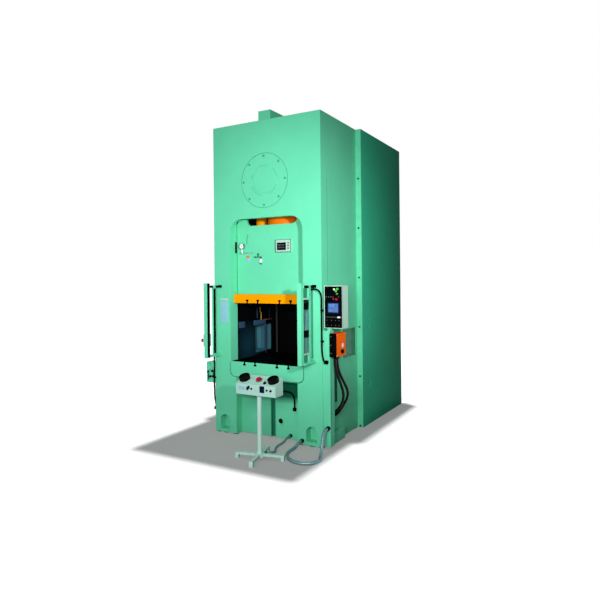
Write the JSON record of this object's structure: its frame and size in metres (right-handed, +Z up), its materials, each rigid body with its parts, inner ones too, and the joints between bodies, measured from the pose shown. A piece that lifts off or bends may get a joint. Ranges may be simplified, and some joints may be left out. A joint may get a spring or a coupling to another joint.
{
  "type": "stamping press",
  "caption": "Tall straight-side stamping press with an orange slide plate, rear drive enclosure, light guards, control box and a palm-button pedestal.",
  "frame": {"origin": "on the floor on the slide axis, at the centre of the anchor bolt pattern", "axes": "+Z up, +X to the operator's right, -Y towards the operator"},
  "size_m": [2.098, 3.7117, 4.4],
  "materials": {
    "press_green": "semi-gloss machine paint",
    "dark_paint": "satin machine paint",
    "orange_paint": "semi-gloss paint",
    "signal_orange": "semi-gloss paint",
    "pale_paint": "satin powder coat",
    "black_paint": "matt paint",
    "motor_paint": "satin paint",
    "bright_steel": "ground steel",
    "cast_iron": "machined and oiled casting",
    "bronze": "machined bearing bronze",
    "guard_aluminium": "anodised extrusion",
    "black_rubber": "matt rubber",
    "black_plastic": "moulded plastic",
    "red_plastic": "moulded plastic",
    "green_plastic": "lens plastic",
    "tinted_pane": "tinted polycarbonate",
    "conduit_grey": "coated flexible conduit"
  },
  "bodies": {
    "press": {"frame": "press_green", "levelling_pads": "black_rubber", "crown_cover": "press_green", "panel_bolts": "press_green", "bolster": "press_green", "gibs": "bronze", "plunger_guide": "bronze", "crank_bearings": "bronze", "drive_bracket": "press_green", "main_motor": "motor_paint", "drive_belts": "black_rubber", "balance_cylinders": "orange_paint", "enclosure_left": "press_green", "enclosure_right": "press_green", "enclosure_rear": "press_green", "enclosure_roof": "press_green", "roof_box": "press_green", "rear_guard": "black_paint", "feed_guards": "tinted_pane", "light_channels": "press_green", "light_bars": "guard_aluminium", "guard_frames": "press_green", "side_stop_box": "pale_paint", "junction_box": "press_green", "duct_post": "press_green", "control_box": "pale_paint", "isolator_box": "signal_orange", "pedestal_stand": "pale_paint", "console_box": "pale_paint", "conduit_glands": "black_plastic", "cable_runs": "black_rubber", "hose_front": "black_rubber", "hose_rear": "black_rubber", "conduit_long": "conduit_grey", "conduit_short": "conduit_grey"},
    "plunger": {"plunger": "orange_paint"},
    "slide": {"slide_body": "press_green", "slide_plate": "orange_paint", "balance_rods": "bright_steel", "height_indicator": "pale_paint", "pressure_gauge": "bright_steel"},
    "needle": {"gauge_needle": "black_paint"},
    "crank": {"crankshaft": "bright_steel", "main_gear": "cast_iron"},
    "rod": {"connecting_rod": "cast_iron", "adjusting_screw": "bright_steel"},
    "drive_shaft": {"pinion_shaft": "bright_steel", "clutch": "cast_iron"},
    "flywheel_rotor": {"flywheel": "dark_paint"},
    "motor_rotor": {"motor_pulley": "cast_iron"},
    "door": {"rear_door": "press_green"},
    "handle": {"door_handle": "black_plastic"},
    "side_stop": {"side_stop_button": "red_plastic"},
    "run_key": {"run_button": "green_plastic"},
    "panel_stop": {"panel_stop_button": "red_plastic"},
    "isolator": {"isolator_knob": "black_plastic"},
    "palm_left": {"palm_button_left": "black_plastic"},
    "palm_right": {"palm_button_right": "black_plastic"},
    "console_stop": {"console_stop_button": "red_plastic"},
    "selector": {"console_selector": "black_plastic"}
  },
  "joints": [
    {"name": "press_stroke", "type": "slide", "parent": "press", "child": "plunger", "axis": [0, 0, -1], "range_m": [0, 0.2]},
    {"name": "die_height", "type": "slide", "parent": "plunger", "child": "slide", "axis": [0, 0, -1], "range_m": [0, 0.06]},
    {"name": "crank_turn", "type": "hinge", "parent": "press", "child": "crank", "pos_m": [0, 0, 3.379], "axis": [0, 1, 0], "range_deg": [0, 180]},
    {"name": "rod_swing", "type": "hinge", "parent": "crank", "child": "rod", "pos_m": [0, 0, 3.479], "axis": [0, 1, 0], "range_deg": [-180, 0]},
    {"name": "pinion_turn", "type": "hinge", "parent": "press", "child": "drive_shaft", "pos_m": [0, 0, 2.713], "axis": [0, 1, 0], "range_deg": [-772, 0]},
    {"name": "flywheel_spin", "type": "hinge", "parent": "press", "child": "flywheel_rotor", "pos_m": [0, 0, 2.713], "axis": [0, 1, 0], "continuous": true},
    {"name": "motor_spin", "type": "hinge", "parent": "press", "child": "motor_rotor", "pos_m": [0, 0, 1.945], "axis": [0, 1, 0], "continuous": true},
    {"name": "door_swing", "type": "hinge", "parent": "press", "child": "door", "pos_m": [-0.404, 2.167, 1.1], "axis": [0, 0, 1], "range_deg": [0, 110]},
    {"name": "handle_turn", "type": "hinge", "parent": "door", "child": "handle", "pos_m": [0.34, 2.17, 1.15], "axis": [0, 1, 0], "range_deg": [0, 90]},
    {"name": "gauge_sweep", "type": "hinge", "parent": "slide", "child": "needle", "pos_m": [-0.455, -0.415, 2.54], "axis": [0, 1, 0], "range_deg": [0, 270], "stiffness_Nm_per_rad": 0.01},
    {"name": "side_stop_press", "type": "slide", "parent": "press", "child": "side_stop", "axis": [1, 0, 0], "range_m": [0, 0.006]},
    {"name": "run_press", "type": "slide", "parent": "press", "child": "run_key", "axis": [0, 1, 0], "range_m": [0, 0.006], "stiffness_N_per_m": 600},
    {"name": "panel_stop_press", "type": "slide", "parent": "press", "child": "panel_stop", "axis": [0, 1, 0], "range_m": [0, 0.006]},
    {"name": "isolator_turn", "type": "hinge", "parent": "press", "child": "isolator", "pos_m": [1.02, -0.375, 1.19], "axis": [1, 0, 0], "range_deg": [0, 90]},
    {"name": "palm_left_press", "type": "slide", "parent": "press", "child": "palm_left", "axis": [0, 0.4274, -0.9041], "range_m": [0, 0.006], "stiffness_N_per_m": 1500},
    {"name": "palm_right_press", "type": "slide", "parent": "press", "child": "palm_right", "axis": [0, 0.4274, -0.9041], "range_m": [0, 0.006], "stiffness_N_per_m": 1500},
    {"name": "console_stop_press", "type": "slide", "parent": "press", "child": "console_stop", "axis": [0, 0.4274, -0.9041], "range_m": [0, 0.006]},
    {"name": "selector_turn", "type": "hinge", "parent": "press", "child": "selector", "pos_m": [0.45, -1.24568, 0.89577], "axis": [0, -0.4274, 0.9041], "range_deg": [0, 60]}
  ],
  "couplings": [
    {"joint": "crank_turn", "follows": "press_stroke", "rad_per_m": 15.708},
    {"joint": "rod_swing", "follows": "press_stroke", "rad_per_m": -15.708},
    {"joint": "pinion_turn", "follows": "press_stroke", "rad_per_m": -67.32},
    {"joint": "motor_spin", "follows": "flywheel_spin", "ratio": 3.8462}
  ]
}
